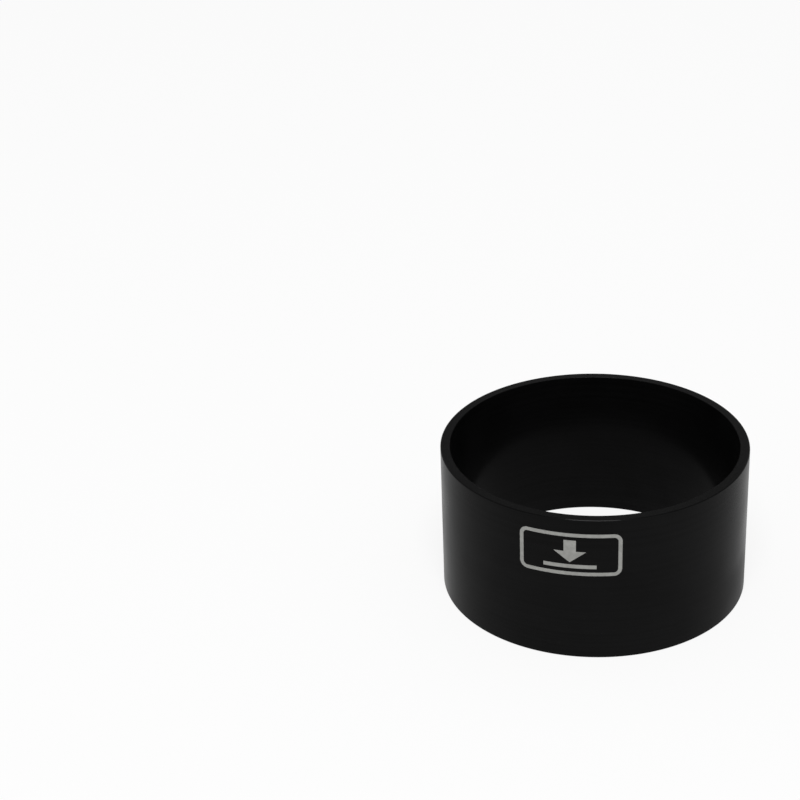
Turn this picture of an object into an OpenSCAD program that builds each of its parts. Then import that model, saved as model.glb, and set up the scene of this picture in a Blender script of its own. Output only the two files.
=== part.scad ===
// Tapered piston ring compressor: a one-piece turned sleeve.
// The piston goes in at the wide mouth on top, the taper closes its rings, and the straight land at the
// exit hands them to a cylinder of the same bore. The flat exit face stands on the engine block.
// Millimetres, +Z up, origin at the centre of the exit face.

/* [Bore] */
// Cylinder bore that the sleeve is made for
bore_d = 100; // [60:0.5:130]
// Length of the straight land at the exit, which is at bore size
land_len = 6; // [3:0.5:15]
// How much wider the mouth is than the bore, so that relaxed rings drop in
mouth_gain = 7.3; // [4:0.1:12]

/* [Body] */
// Height from the exit face to the mouth
height = 57.15; // [40:0.05:80]
// Wall left between the mouth and the outside
lip_wall = 3.5; // [2.6:0.05:8]

/* [Edges] */
// 45 degree chamfer on both outer edges
outer_chamfer = 0.3; // [0.2:0.1:1.5]
// Edge break at the mouth, just enough that it doesn't nick a ring
mouth_break = 0.1; // [0.05:0.05:0.8]
// Edge break at the exit, kept small so that no ring springs open there
exit_break = 0.15; // [0.05:0.05:0.5]

/* [Hidden] */
bore_r = bore_d / 2;
mouth_r = bore_r + mouth_gain / 2;
outer_r = mouth_r + lip_wall;

// How far the bore opens for each millimetre of height above the land
taper = (mouth_r - bore_r) / (height - land_len);

$fn = 180;

// Half section of the sleeve as [radius, height], once round from the exit edge
function sleeve_section() = [
    [bore_r + exit_break, 0],
    [outer_r - outer_chamfer, 0],
    [outer_r, outer_chamfer],
    [outer_r, height - outer_chamfer],
    [outer_r - outer_chamfer, height],
    [mouth_r + mouth_break, height],
    [mouth_r - mouth_break * taper, height - mouth_break],
    [bore_r, land_len],
    [bore_r, exit_break],
];

// The whole tool, turned from one length of round bar and anodised black
module compressor_sleeve() {
    color("#151517")
        rotate_extrude()
            polygon(sleeve_section());
}

compressor_sleeve();
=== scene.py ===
# %% [markdown]
# # A tapered piston ring compressor
#
# This lesson dresses one engine builder's tool: a black sleeve, turned from a single length of aluminium
# bar. A piston goes in at the wide mouth on top, the tapered bore closes its springy rings, and the
# piston leaves at the foot with the rings tight against it, straight into a cylinder of the same bore.
#
# A tool this plain lives or dies by its edges and its finish. A black surface shows little colour of its
# own, so nearly all that the eye gets is what the surface mirrors: the pale floor, a soft lamp and the
# tool itself.
#
# The CAD model comes first and stays where it is. Everything below reads its sizes from it, in metres.

# %% Load the CAD part as a fixed frame
import math

import bpy
import numpy as np
from mathutils import Matrix, Vector


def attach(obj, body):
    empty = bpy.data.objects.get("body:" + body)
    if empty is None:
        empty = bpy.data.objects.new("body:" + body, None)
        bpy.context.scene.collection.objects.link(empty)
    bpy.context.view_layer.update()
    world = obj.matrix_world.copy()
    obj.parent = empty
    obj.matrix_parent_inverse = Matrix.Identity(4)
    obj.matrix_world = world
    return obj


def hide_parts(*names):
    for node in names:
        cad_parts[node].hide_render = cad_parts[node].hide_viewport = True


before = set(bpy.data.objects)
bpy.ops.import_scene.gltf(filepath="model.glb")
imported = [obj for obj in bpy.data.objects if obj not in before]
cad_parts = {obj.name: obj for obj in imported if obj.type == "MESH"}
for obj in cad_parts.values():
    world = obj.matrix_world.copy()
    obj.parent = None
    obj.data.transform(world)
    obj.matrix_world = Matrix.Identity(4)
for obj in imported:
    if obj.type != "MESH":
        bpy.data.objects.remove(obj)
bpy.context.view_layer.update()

MM = 0.001
SLEEVE_NODE = "compressor_sleeve"

# %% [markdown]
# ## The half section
#
# A turned part is one outline carried round an axis, so its whole shape is in that outline. It could be
# typed in again from a drawing, but then two copies of each size would have to agree. Here it is read
# back from the CAD piece: every vertex is folded on to one half plane, and the vertices of each turned
# edge fall on one point.

# %% Read the corners of the half section
SNAP = 0.01 * MM
LEAST_TURN = math.radians(1)


def read_half_section(cad_object):
    """Corners (radius, height) of a turned piece's convex half section, in order round the wall.

    A vertex at (x, y, z) folds to (distance from the Z axis, z). Vertices that fold to one place are one
    ring of the mesh, and their mean is its point. Seen from the middle of a convex section, the points are
    in order of their direction. A point is a corner if the outline turns there by more than LEAST_TURN.
    """
    places = np.empty(3 * len(cad_object.data.vertices), np.float32)
    cad_object.data.vertices.foreach_get("co", places)
    x, y, z = places.reshape(-1, 3).T.astype(float)
    folded = np.column_stack([np.hypot(x, y), z])
    ring_of_vertex = np.unique(np.round(folded / SNAP), axis=0, return_inverse=True)[1].ravel()
    vertices_on_ring = np.bincount(ring_of_vertex)
    rings = np.column_stack([np.bincount(ring_of_vertex, side) / vertices_on_ring for side in folded.T])
    from_middle = rings - rings.mean(axis=0)
    rings = rings[np.argsort(np.arctan2(from_middle[:, 1], from_middle[:, 0]))]
    leaving = np.roll(rings, -1, axis=0) - rings
    heading = np.arctan2(leaving[:, 1], leaving[:, 0])
    turn = (heading - np.roll(heading, 1)) % (2 * np.pi)
    return rings[(turn > LEAST_TURN) & (turn < np.pi)]


section = read_half_section(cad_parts[SLEEVE_NODE])
outer_radius, sleeve_height = section.max(axis=0)
mouth_radius = section[np.isclose(section[:, 1], sleeve_height), 0].min()

print("corners of the half section in mm:")
print(np.round(section / MM, 2))

# %% [markdown]
# ## Softened edges
#
# The real sleeve has small chamfers, and each of their corners is a little round from deburring and from
# the acid bath before anodising. Those hair-wide curves matter: they are what catches the lamp as a thin
# bright line along the mouth. A Bevel modifier would do, but the outline is known, so each corner simply
# becomes an arc. Just outside each arc goes one more point, which keeps the smooth shading of the arc off
# the long flat walls.

# %% Round every corner of the section
EDGE_SOFTENING = 0.16 * MM
ARC_POINTS = 6
GUARD = 0.6


def soften_section(corners, softening, arc_points):
    """The section with each corner as an arc, and how far each point belongs to an edge, from 0 to 1.

    An arc leaves both sides of its corner at the same distance t from it: the softening, or a quarter of the
    shorter side. If the section turns by an angle b there, the arc's radius is t / tan(b / 2), and its points
    lie that far from its centre, in the directions between the outward normals of the two sides. The guard
    points lie on the two sides, GUARD * t beyond the arc's ends.
    """
    side = np.roll(corners, -1, axis=0) - corners
    length = np.linalg.norm(side, axis=1)
    along = side / length[:, None]
    along_before = np.roll(along, 1, axis=0)
    facing = np.arctan2(-along[:, 0], along[:, 1])
    facing_before = np.roll(facing, 1)
    turn = (facing - facing_before) % (2 * np.pi)
    reach = np.minimum(softening, np.minimum(length, np.roll(length, 1)) / 4)[:, None]
    radius = reach / np.tan(turn / 2)[:, None]
    normal_before = np.column_stack([np.cos(facing_before), np.sin(facing_before)])
    centre = corners - reach * along_before - radius * normal_before
    angle = facing_before[:, None] + turn[:, None] * np.linspace(0, 1, arc_points)
    arc = centre[:, None] + radius[:, None] * np.stack([np.cos(angle), np.sin(angle)], axis=-1)
    guard_before = arc[:, :1] - GUARD * (reach * along_before)[:, None]
    guard_after = arc[:, -1:] + GUARD * (reach * along)[:, None]
    edge = np.zeros((len(corners), arc_points + 2))
    edge[:, 1:-1] = np.sin(turn)[:, None]
    return np.concatenate([guard_before, arc, guard_after], axis=1).reshape(-1, 2), edge.ravel()


sleeve_outline, sleeve_edge = soften_section(section, EDGE_SOFTENING, ARC_POINTS)

print(f"{len(section)} corners became {len(sleeve_outline)} points")

# %% [markdown]
# ## From an outline to a mesh
#
# The Spin tool and the Screw modifier both turn an outline into a round body. As a surface it is simply a
# function of two parameters, a place on the outline and an angle, so numpy can work out every point at
# once. Both parameters close on themselves, so the last row of faces joins the first and there is no seam
# to weld. The same grid gives an unrolled UV map as one clean strip: the angle runs across it and the
# outline up it. The map is named OFBake.

# %% Put points and faces into a mesh


def make_mesh(name, points, quads, smooth):
    """A mesh object at the origin from an array of points and an array of four-cornered faces."""
    mesh = bpy.data.meshes.new(name)
    mesh.vertices.add(len(points))
    mesh.vertices.foreach_set("co", points.astype(np.float32).ravel())
    mesh.loops.add(quads.size)
    mesh.loops.foreach_set("vertex_index", quads.astype(np.int32).ravel())
    mesh.polygons.add(len(quads))
    mesh.polygons.foreach_set("loop_start", np.arange(0, quads.size, 4, dtype=np.int32))
    mesh.polygons.foreach_set("use_smooth", np.full(len(quads), smooth))
    mesh.update(calc_edges=True)
    mesh.validate()
    piece = bpy.data.objects.new(name, mesh)
    bpy.context.scene.collection.objects.link(piece)
    return piece


def wrapped_grid(rows, columns):
    """Faces of a grid that closes on itself both ways, and the row and column of each of their corners.

    A face steps first along its row and then to the next row: (row, column), (row, column + 1),
    (row + 1, column + 1), (row + 1, column). The last row and column are followed by the first.
    """
    row, column = np.meshgrid(np.arange(rows), np.arange(columns), indexing="ij")
    corner_row = np.stack([row, row, row + 1, row + 1], axis=-1).reshape(-1, 4)
    corner_column = np.stack([column, column + 1, column + 1, column], axis=-1).reshape(-1, 4)
    return corner_row % rows * columns + corner_column % columns, corner_row, corner_column


print("meshes can be made")

# %% Turn the sleeve
TURN_STEPS = 512
BAKE_MAP = "OFBake"


def turn_outline(name, outline, steps):
    """A body of revolution: point (i, j) is (r_i cos a_j, r_i sin a_j, z_i), with a_j = 2 pi j / steps.

    The outline runs anticlockwise, up the outside, so faces that step first round the axis and then along the
    outline point outwards. The UV of point (i, j) is (share of a turn, share of the outline's length).
    """
    angle = 2 * np.pi * np.arange(steps) / steps
    radius, height = outline.T
    points = np.stack(
        [np.outer(radius, np.cos(angle)), np.outer(radius, np.sin(angle)), np.outer(height, np.ones(steps))],
        axis=-1,
    )
    quads, corner_row, corner_column = wrapped_grid(len(outline), steps)
    piece = make_mesh(name, points.reshape(-1, 3), quads, smooth=True)
    walked = np.cumsum(np.linalg.norm(np.roll(outline, -1, axis=0) - outline, axis=1))
    share = np.concatenate([[0], walked / walked[-1]])
    unrolled = np.stack([corner_column / steps, share[corner_row]], axis=-1)
    uv_map = piece.data.uv_layers.new(name=BAKE_MAP)
    uv_map.uv.foreach_set("vector", unrolled.astype(np.float32).ravel())
    return piece


sleeve = turn_outline("turned_sleeve", sleeve_outline, TURN_STEPS)
edge_attribute = sleeve.data.attributes.new("edge", "FLOAT", "POINT")
edge_attribute.data.foreach_set("value", np.repeat(sleeve_edge, TURN_STEPS).astype(np.float32))
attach(sleeve, "root")
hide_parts(SLEEVE_NODE)

print(f"{sleeve.name}: {len(sleeve.data.polygons)} faces")

# %% [markdown]
# ## Writing shader maths
#
# A finish is a formula: how dark, how rough and how bumpy the surface is at each point. In the shader
# editor each sum is a node and each wire is drawn by hand. The small class below lets Python do that. It
# wraps one output of a node, and arithmetic on it adds Math nodes, so `1 - mask` is a node and a wire.
# Its `node` method adds any other kind of node: first the settings, then a value or a wire on each input.

# %% Wrap a socket so that formulas can be written out


class Wire:
    """One output socket of a shader node."""

    def __init__(self, tree, socket):
        self.tree = tree
        self.socket = socket

    def node(self, kind, settings=None, inputs=None, output=0):
        """Adds a node to this wire's tree, settings first, and gives the wire of one of its outputs."""
        made = self.tree.nodes.new(kind)
        for name, value in (settings or {}).items():
            setattr(made, name, value)
        for name, value in (inputs or {}).items():
            if isinstance(value, Wire):
                self.tree.links.new(value.socket, made.inputs[name])
            else:
                made.inputs[name].default_value = value
        return Wire(self.tree, made.outputs[output])

    def math(self, operation, *others):
        """A Math node with this wire as its first value."""
        return self.node("ShaderNodeMath", {"operation": operation}, dict(enumerate((self, *others))))

    def __add__(self, other):
        return self.math("ADD", other)

    def __mul__(self, other):
        return self.math("MULTIPLY", other)

    def __sub__(self, other):
        return self.math("SUBTRACT", other)

    def __rsub__(self, other):
        return self.node("ShaderNodeMath", {"operation": "SUBTRACT"}, {0: other, 1: self})

    __radd__ = __add__
    __rmul__ = __mul__


print("formulas can be written")

# %% Helpers that the finishes share


def new_finish(name):
    """A material with only a Principled shader: the material, the shader and the wire of its output."""
    material = bpy.data.materials.new(name)
    material.use_nodes = True
    shader = material.node_tree.nodes["Principled BSDF"]
    return material, shader, Wire(material.node_tree, shader.outputs["BSDF"])


def split(vector):
    """The three wires of a vector's X, Y and Z."""
    apart = vector.node("ShaderNodeSeparateXYZ", None, {"Vector": vector}).socket.node
    return [Wire(vector.tree, socket) for socket in apart.outputs]


def ramp(value, start, end):
    """0 where the value is at start or before, 1 at end or after, and smooth between them."""
    inputs = {"Value": value, "From Min": start, "From Max": end}
    return value.node("ShaderNodeMapRange", {"interpolation_type": "SMOOTHSTEP"}, inputs)


def noise(place, scale, detail):
    """Smooth noise, from about 0 to 1, read at a place."""
    return place.node("ShaderNodeTexNoise", None, {"Vector": place, "Scale": scale, "Detail": detail})


def mix_colours(share, low, high):
    """The colour low where the share is 0, high where it is 1, and their mix between. Each may be a wire."""
    low, high = (end if isinstance(end, Wire) else (*end, 1) for end in (low, high))
    return share.node("ShaderNodeMix", {"data_type": "RGBA"}, {"Factor": share, 6: low, 7: high}, 2)


def feed(shader, **wires):
    """Joins wires to the shader's inputs. Base_Color stands for the input called Base Color."""
    for name, wire in wires.items():
        wire.tree.links.new(wire.socket, shader.inputs[name.replace("_", " ")])


print("finishes can be made")

# %% [markdown]
# ## Black hard anodising
#
# Anodising grows a layer of oxide out of the metal and fills its pores with black dye. The layer isn't
# metal any more, so Metallic stays at 0. The pores swallow nearly all light. What is left mirrors a little
# when seen square on and far more at a slant, and two layers give that here. The base is black with a
# faint satin shine, which shows only at a slant. Over it lies a Coat, whose weight says how much of the
# surface is smooth and glassy. One Coat with a lower index of refraction would look alike, but files that
# carry a model from one program to another have no place for that number, so it stays at its default.
#
# The rest is slight. The lathe tool left fine lines under the oxide, which run round the axis and depend
# only on the radius and the height. They are about a thousandth of a millimetre deep, and the oxide over
# them is glassy in one line and less so in the next. The dye takes a little unevenly, the oxide is paler
# on sharp edges, and handling leaves a few dull patches. In the bore, where rings slide, it is duller all
# over.

# %% The sleeve's finish
LINES_PER_MM, LINE_DEPTH = 5.0, 0.001 * MM
LINE_SLANT, LINE_DRIFT = 1.7, 30.0
LINE_SCALE, BAND_SCALE = 1.0, 0.08
DYE_CLOUDS, HANDLED_PATCHES = 45.0, 28.0
OXIDE_DARK, OXIDE_PALE = (0.0010, 0.0010, 0.0010), (0.0023, 0.0023, 0.0024)
OXIDE_EDGE = (0.006, 0.006, 0.006)
DYE_PART = 0.6
SATIN_SHINE, SATIN_ROUGHNESS = 0.0185, 0.2
DYE_ROUGHENS, HANDLING_ROUGHENS, BORE_ROUGHENS = 0.2, 0.1, 0.2
GLASSY_SHARE, GLASSY_LEVEL, GLASSY_ROUGHNESS = 0.105, 0.7, 0.15
LINES_GLAZE, BANDS_GLAZE, HANDLING_DULLS, BORE_DULLS = 0.5, 0.16, 0.12, 0.28
BORE_BLEND = 0.3 * MM


def finish_black_anodising():
    """Turning lines are noise along (radius + slant * height), which drifts only a little round the axis.

    Bands are the same noise, stretched over many lines. Roughness and glassy share are each a level plus
    what the lines, the bands, the dye, handling and the bore add to it or take away.
    """
    material, shader, bare = new_finish("black_anodised")
    place = bare.node("ShaderNodeTexCoord", None, None, "Object")
    x, y, z = split(place)
    radius = (x * x + y * y).math("SQRT")
    across_lines = (radius + z * LINE_SLANT) * (LINES_PER_MM / MM)
    line_inputs = {"X": across_lines, "Y": x * LINE_DRIFT, "Z": y * LINE_DRIFT}
    line_place = place.node("ShaderNodeCombineXYZ", None, line_inputs)
    lines = noise(line_place, LINE_SCALE, detail=3.0)
    bands = noise(line_place, BAND_SCALE, detail=1.0)
    dye = noise(place, DYE_CLOUDS, detail=4.0)
    handled = ramp(noise(place, HANDLED_PATCHES, detail=2.0), start=0.52, end=0.72)
    edge = place.node("ShaderNodeAttribute", {"attribute_name": "edge"}, None, "Fac")
    bore = ramp(radius, start=mouth_radius + BORE_BLEND, end=mouth_radius)

    uneven = ramp(dye * DYE_PART + bands * (1 - DYE_PART), start=0.3, end=0.7)
    oxide = mix_colours(uneven, OXIDE_DARK, OXIDE_PALE)
    paled = mix_colours(edge * lines, oxide, OXIDE_EDGE)
    rough = SATIN_ROUGHNESS + dye * DYE_ROUGHENS + handled * HANDLING_ROUGHENS + bore * BORE_ROUGHENS
    glazed = GLASSY_LEVEL + lines * LINES_GLAZE + bands * BANDS_GLAZE - handled * HANDLING_DULLS
    glassy = GLASSY_SHARE * glazed * (1 - bore * BORE_DULLS)
    bump = lines.node("ShaderNodeBump", None, {"Height": lines, "Distance": LINE_DEPTH})
    feed(shader, Base_Color=paled, Roughness=rough, Coat_Weight=glassy, Normal=bump)
    shader.inputs["Specular IOR Level"].default_value = SATIN_SHINE
    shader.inputs["Coat Roughness"].default_value = GLASSY_ROUGHNESS
    return material


black_anodised = finish_black_anodising()
sleeve.data.materials.append(black_anodised)

print(f"{black_anodised.name}: {len(black_anodised.node_tree.nodes)} nodes")

# %% [markdown]
# ## The etched mark
#
# A laser has burnt the dye out of the front, down to the pale oxide, in the shape of a frame with an
# arrow that points to the foot: that end goes down on the engine block. The mark could be a mask in the
# sleeve's own finish. As thin plates, a hundredth of a millimetre proud, its outlines stay sharp at any
# distance, and it is a piece of its own, whose colour can be changed by itself.
#
# Each shape is laid out flat first, as two arrays: how far across and how far up its points are. The
# frame is a band that follows a rounded rectangle, so its grid closes on itself as the sleeve's does.

# %% Lay out the frame
FRAME_WIDTH, FRAME_HEIGHT = 37.0 * MM, 17.0 * MM
FRAME_CORNER, FRAME_LINE = 3.0 * MM, 1.4 * MM
CORNER_STEPS, SIDE_STEPS, BAND_ROWS = 16, 48, 4


def lay_out_frame():
    """A flat band (across, up), with rows from its outer to its inner edge and columns once round it.

    A point walks round a rounded rectangle: in a corner it turns on that corner's centre, and on a side the
    centre moves to the next corner and the direction stays. It is at centre + (corner - inset) * direction.
    """
    middle = np.array([FRAME_WIDTH, FRAME_HEIGHT]) / 2 - FRAME_CORNER
    centres = middle * np.array([[1, 1], [-1, 1], [-1, -1], [1, -1]])
    to_next = np.roll(centres, -1, axis=0) - centres
    turned = np.concatenate([np.arange(CORNER_STEPS) / CORNER_STEPS, np.ones(SIDE_STEPS)])
    moved = np.concatenate([np.zeros(CORNER_STEPS), np.arange(SIDE_STEPS) / SIDE_STEPS])
    angle = (np.arange(4)[:, None] + turned) * np.pi / 2
    direction = np.stack([np.cos(angle), np.sin(angle)], axis=-1).reshape(-1, 2)
    centre = (centres[:, None] + moved[:, None] * to_next[:, None]).reshape(-1, 2)
    inset = np.linspace(0, FRAME_LINE, BAND_ROWS)[:, None, None]
    band = centre + (FRAME_CORNER - inset) * direction
    return band[..., 0], band[..., 1]


frame_band = lay_out_frame()

print("frame:", frame_band[0].shape, f"points, {FRAME_WIDTH / MM:.0f} x {FRAME_HEIGHT / MM:.0f} mm")

# %% [markdown]
# The bar and the two halves of the arrow have straight sides, so each is a grid whose rows have a width
# for each height. The arrow's point is two hundredths of a millimetre blunt, as a laser's spot makes it,
# which also keeps the last row of faces from closing to nothing. Shaft and head have different numbers of
# columns, so that the two meet along a line and share no point on it: each stays a closed plate.

# %% Lay out the arrow and the bar
ARROW_TOP, ARROW_NECK, ARROW_TIP = 5.7 * MM, 1.2 * MM, -3.2 * MM
SHAFT_HALF, HEAD_HALF, TIP_HALF = 2.2 * MM, 5.8 * MM, 0.02 * MM
BAR_LOW, BAR_HIGH, BAR_HALF = -5.6 * MM, -4.1 * MM, 9.5 * MM
PLATE_ROWS, SHAFT_COLUMNS, WIDE_COLUMNS = 13, 24, 33


def lay_out_plate(low, high, half_low, half_high, columns):
    """A flat grid (across, up) with rows from high to low, whose half width goes evenly from edge to edge."""
    up = np.linspace(high, low, PLATE_ROWS)[:, None]
    across = np.linspace(half_high, half_low, PLATE_ROWS)[:, None] * np.linspace(-1, 1, columns)
    return across, np.broadcast_to(up, across.shape)


flat_plates = [
    lay_out_plate(ARROW_NECK, ARROW_TOP, SHAFT_HALF, SHAFT_HALF, SHAFT_COLUMNS),
    lay_out_plate(ARROW_TIP, ARROW_NECK, TIP_HALF, HEAD_HALF, WIDE_COLUMNS),
    lay_out_plate(BAR_LOW, BAR_HIGH, BAR_HALF, BAR_HALF, WIDE_COLUMNS),
]

print(f"arrow {(ARROW_TOP - ARROW_TIP) / MM:.1f} mm long over a bar of {2 * BAR_HALF / MM:.0f} mm")

# %% [markdown]
# Now the flat shapes are rolled round the sleeve, facing -Y, once for the front and once for the back of
# the plates, which lies a little under the sleeve's surface so that no gap shows. The frame's front and
# back rows make one grid that closes both ways. An open grid needs its back and a strip round its rim.

# %% Roll the shapes round the sleeve
MARK_BELOW_MOUTH = 14.15 * MM
MARK_PROUD, MARK_SUNK = 0.01 * MM, 0.05 * MM


def roll_round_sleeve(across, up, radius):
    """Flat (across, up) rolled on a cylinder: the angle from -Y is across / outer radius, anticlockwise."""
    angle = across / outer_radius - np.pi / 2
    height = sleeve_height - MARK_BELOW_MOUTH + up
    return np.stack([radius * np.cos(angle), radius * np.sin(angle), height], axis=-1)


def band_solid(across, up):
    """Points and faces of a thin band: front rows from outer to inner edge, then back rows the other way."""
    front = roll_round_sleeve(across, up, outer_radius + MARK_PROUD)
    back = roll_round_sleeve(across[::-1], up[::-1], outer_radius - MARK_SUNK)
    rows, columns = across.shape
    return np.concatenate([front, back]).reshape(-1, 3), wrapped_grid(2 * rows, columns)[0]


def plate_solid(across, up):
    """Points and faces of a thin plate: front faces, reversed back faces, and a strip round the rim."""
    front = roll_round_sleeve(across, up, outer_radius + MARK_PROUD)
    back = roll_round_sleeve(across, up, outer_radius - MARK_SUNK)
    index = np.arange(across.size).reshape(across.shape)
    faces = np.stack([index[1:, :-1], index[1:, 1:], index[:-1, 1:], index[:-1, :-1]], axis=-1).reshape(-1, 4)
    rim = np.concatenate([index[0, :-1], index[:-1, -1], index[-1, :0:-1], index[:0:-1, 0]])
    rim_next = np.roll(rim, -1)
    strip = np.stack([rim, rim_next, rim_next + across.size, rim + across.size], axis=-1)
    quads = np.concatenate([faces, faces[:, ::-1] + across.size, strip])
    return np.concatenate([front, back]).reshape(-1, 3), quads


solids = [band_solid(*frame_band)] + [plate_solid(*flat_plate) for flat_plate in flat_plates]
first_point = np.cumsum([0] + [len(points) for points, _ in solids])
mark_points = np.concatenate([points for points, _ in solids])
mark_quads = np.concatenate([quads + first for (_, quads), first in zip(solids, first_point)])
mark = make_mesh("etched_mark", mark_points, mark_quads, smooth=False)
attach(mark, "root")

print(f"{mark.name}: {len(mark.data.polygons)} faces, middle {MARK_BELOW_MOUTH / MM:.1f} mm below the mouth")

# %% [markdown]
# ## The etched finish
#
# The laser draws line by line, so the pale grey is matt, faintly striped and a little cloudy. The stripes
# lie level, so they depend only on the height. Nothing glassy is left on it, so it has no coat and no
# shine of its own.

# %% The mark's finish
ETCH_PITCH, ETCH_DEPTH = 0.16 * MM, 0.002 * MM
ETCH_CLOUDS, STRIPE_PART = 600.0, 0.35
ETCH_DARK, ETCH_PALE = (0.253, 0.254, 0.241), (0.337, 0.338, 0.323)
ETCH_ROUGHNESS, CLOUDS_ROUGHEN = 0.62, 0.1


def finish_etching():
    """Stripes are a sine of the height, brought to between 1/4 and 3/4, and clouds are fine noise.

    Both sway the grey. Clouds sway the roughness, and stripes are the bumps.
    """
    material, shader, bare = new_finish("etched_mark")
    place = bare.node("ShaderNodeTexCoord", None, None, "Object")
    height = split(place)[2]
    stripes = (height * (2 * math.pi / ETCH_PITCH)).math("SINE") * 0.25 + 0.5
    cloud = noise(place, ETCH_CLOUDS, detail=3.0)

    uneven = ramp(stripes * STRIPE_PART + cloud * (1 - STRIPE_PART), start=0.25, end=0.75)
    grey = mix_colours(uneven, ETCH_DARK, ETCH_PALE)
    rough = ETCH_ROUGHNESS + cloud * CLOUDS_ROUGHEN
    bump = stripes.node("ShaderNodeBump", None, {"Height": stripes, "Distance": ETCH_DEPTH})
    feed(shader, Base_Color=grey, Roughness=rough, Normal=bump)
    shader.inputs["Specular IOR Level"].default_value = 0.0
    return material


etched_mark = finish_etching()
mark.data.materials.append(etched_mark)

print(f"{etched_mark.name}: {len(etched_mark.node_tree.nodes)} nodes")

# %% [markdown]
# ## The pale floor
#
# The sleeve stands on a wide flat sheet of white paper. The paper does more than hold the shadow: the
# walls of the sleeve mirror it, and that is where most of their brightness comes from.
#
# Paper lit at a plain level comes out a little grey. A stronger lamp would whiten it, and would wash out
# the black as well. So the paper also glows, but only where a ray looks at it: from the camera, in a
# mirror or through glass. Light that falls on the sleeve comes from the plain paper, and the shadow
# stays.

# %% Lay the paper
PAPER_REACH = 20.0
PAPER_WHITE, WHITE = (0.93, 0.93, 0.93), (1.0, 1.0, 1.0)
PAPER_ROUGHNESS, PAPER_LIFT = 0.9, 0.82
LOOKING_RAYS = ("Is Camera Ray", "Is Glossy Ray", "Is Transmission Ray")


def lay_paper():
    """A flat square, reaching equally far in all four ways."""
    corners = np.array([[-1, -1, 0], [1, -1, 0], [1, 1, 0], [-1, 1, 0]]) * PAPER_REACH
    return make_mesh("paper", corners, np.array([[0, 1, 2, 3]]), smooth=False)


def looking_ray(wire):
    """1 for a ray that looks at a surface, also in a mirror or through glass, and 0 for one that lights."""
    camera, glossy, glass = (wire.node("ShaderNodeLightPath", None, None, ray) for ray in LOOKING_RAYS)
    return camera.math("MAXIMUM", glossy).math("MAXIMUM", glass)


def finish_paper():
    """Plain white paper, mixed with a white glow by PAPER_LIFT for rays that look at it, else by 0."""
    material, shader, plain = new_finish("paper_white")
    shader.inputs["Base Color"].default_value = (*PAPER_WHITE, 1)
    shader.inputs["Roughness"].default_value = PAPER_ROUGHNESS
    shader.inputs["Specular IOR Level"].default_value = 0.0
    white = plain.node("ShaderNodeEmission", None, {"Color": (*WHITE, 1), "Strength": 1.0})
    lift = looking_ray(plain) * PAPER_LIFT
    seen = plain.node("ShaderNodeMixShader", None, {0: lift, 1: plain, 2: white})
    plain.tree.links.new(seen.socket, plain.tree.nodes["Material Output"].inputs["Surface"])
    return material


paper = lay_paper()
paper.data.materials.append(finish_paper())

print(f"paper: {2 * PAPER_REACH:.1f} m wide")

# %% [markdown]
# ## Light
#
# A soft box hangs high in front of the sleeve, four metres away, and a plain grey room fills in from
# every side. Seen from the sleeve, the box is about as wide as a spread hand at arm's length, so the
# shadow is soft, and from so far away it lights the paper evenly. Box and room together light a level
# surface by about 1, so that a colour renders about as it is written.
#
# A black tool shows what it mirrors. The chamfer along the near edge of the mouth is turned so that it
# mirrors the box into the camera, as a thin bright line. The flat rim mirrors only the room and stays
# dark, and the walls mirror the paper, most strongly at the sides, where they are seen at a slant.
#
# From a low viewpoint the edge of the paper would show against the grey room. So the lowest part of the
# room is lifted as the paper is, only for rays that look at it, and paper and wall meet in one pale ground.

# %% Hang the soft box
CAMERA_FROM_MARK = math.radians(8.28)
LAMP_DISTANCE, LAMP_ELEVATION = 4.0, math.radians(61)
LAMP_WIDTH, LAMP_HEIGHT = 1.7, 1.6
LAMP_BRIGHTNESS = 12.0


def towards(azimuth, elevation):
    """Unit vector away from the object: azimuth 0 is -Y, turning anticlockwise seen from above."""
    level = math.cos(elevation)
    return Vector((math.sin(azimuth) * level, -math.cos(azimuth) * level, math.sin(elevation)))


lamp_area = LAMP_WIDTH * LAMP_HEIGHT
lamp_data = bpy.data.lights.new("soft_box", "AREA")
lamp_data.shape = "RECTANGLE"
lamp_data.size = LAMP_WIDTH
lamp_data.size_y = LAMP_HEIGHT
lamp_data.energy = LAMP_BRIGHTNESS * math.pi * lamp_area
lamp = bpy.data.objects.new("soft_box", lamp_data)
lamp_way = towards(CAMERA_FROM_MARK, LAMP_ELEVATION)
lamp.location = lamp_way * LAMP_DISTANCE
lamp.rotation_euler = lamp_way.to_track_quat("Z", "Y").to_euler()
bpy.context.scene.collection.objects.link(lamp)

lamp_level = LAMP_BRIGHTNESS * lamp_area * math.sin(LAMP_ELEVATION) / (math.pi * LAMP_DISTANCE**2)
print(f"the soft box lights a level surface by {lamp_level:.2f}")

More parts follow.
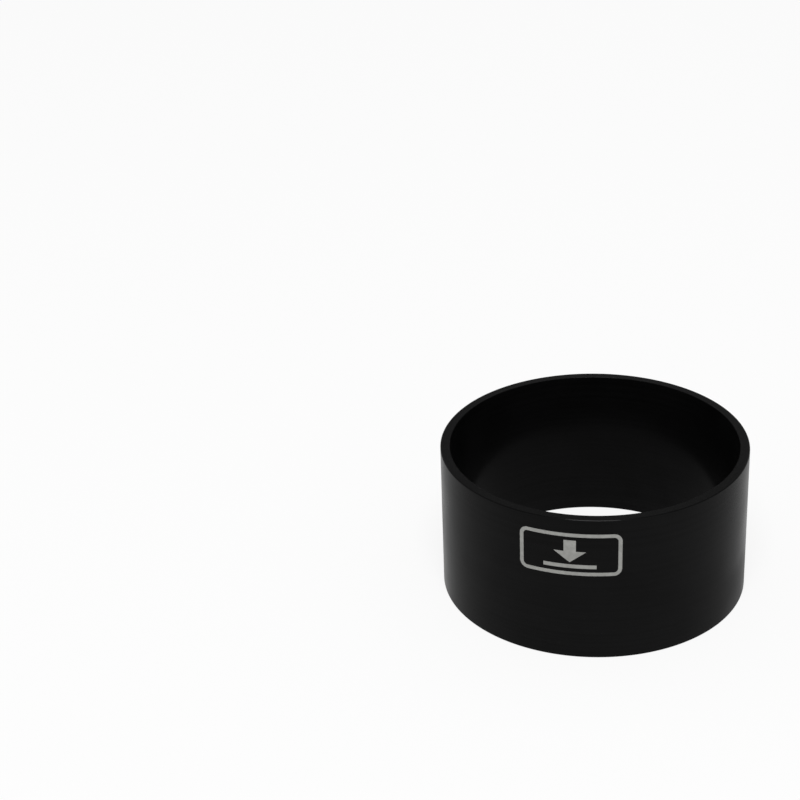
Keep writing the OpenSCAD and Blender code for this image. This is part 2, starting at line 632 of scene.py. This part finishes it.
# %% Light the room
ROOM_GREY = (0.42, 0.42, 0.42)
WALL_TOP, WALL_FADED = math.sin(math.radians(12)), math.sin(math.radians(20))


def light_room():
    """A grey room. Rays that look see its wall lifted, in full up to WALL_TOP and not at all past WALL_FADED.

    Both are heights on the unit sphere of directions, which is what Generated coordinates are in a world.
    """
    room = bpy.data.worlds.new("room")
    room.use_nodes = True
    background = room.node_tree.nodes["Background"]
    bare = Wire(room.node_tree, background.outputs["Background"])
    height = split(bare.node("ShaderNodeTexCoord", None, None, "Generated"))[2]
    lift = looking_ray(bare) * ramp(height, start=WALL_FADED, end=WALL_TOP) * PAPER_LIFT
    feed(background, Color=mix_colours(lift, ROOM_GREY, WHITE))
    return room


bpy.context.scene.world = light_room()
bpy.context.scene.view_settings.view_transform = "Standard"

print(f"the room lights a level surface by {ROOM_GREY[0]:.2f}")

# %% [markdown]
# ## The camera
#
# The photograph was taken with a long lens from about 0.8 m, looking down on the sleeve by about 30
# degrees. Its place was found by fitting the ellipses of the rims, so it is given here as a place and
# three turns: how far it looks past the sleeve to the left, how far down, and how far it leans.

# %% Set up the camera
SENSOR, LENS = 36.0, 93.47
CAMERA_REACH, CAMERA_HEIGHT = 0.68066, 0.42645
LOOK_LEFT, LOOK_DOWN, LEAN = math.radians(6.022), math.radians(27.245), math.radians(-2.246)

camera_data = bpy.data.cameras.new("camera")
camera_data.sensor_width = SENSOR
camera_data.lens = LENS
camera = bpy.data.objects.new("camera", camera_data)
bpy.context.scene.collection.objects.link(camera)
camera_place = towards(CAMERA_FROM_MARK, 0) * CAMERA_REACH + Vector((0, 0, CAMERA_HEIGHT))
camera_turn = (
    Matrix.Rotation(CAMERA_FROM_MARK + LOOK_LEFT, 4, "Z")
    @ Matrix.Rotation(math.pi / 2 - LOOK_DOWN, 4, "X")
    @ Matrix.Rotation(LEAN, 4, "Z")
)
camera.matrix_world = Matrix.Translation(camera_place) @ camera_turn
bpy.context.scene.camera = camera

print("camera at", [round(value, 3) for value in camera_place])
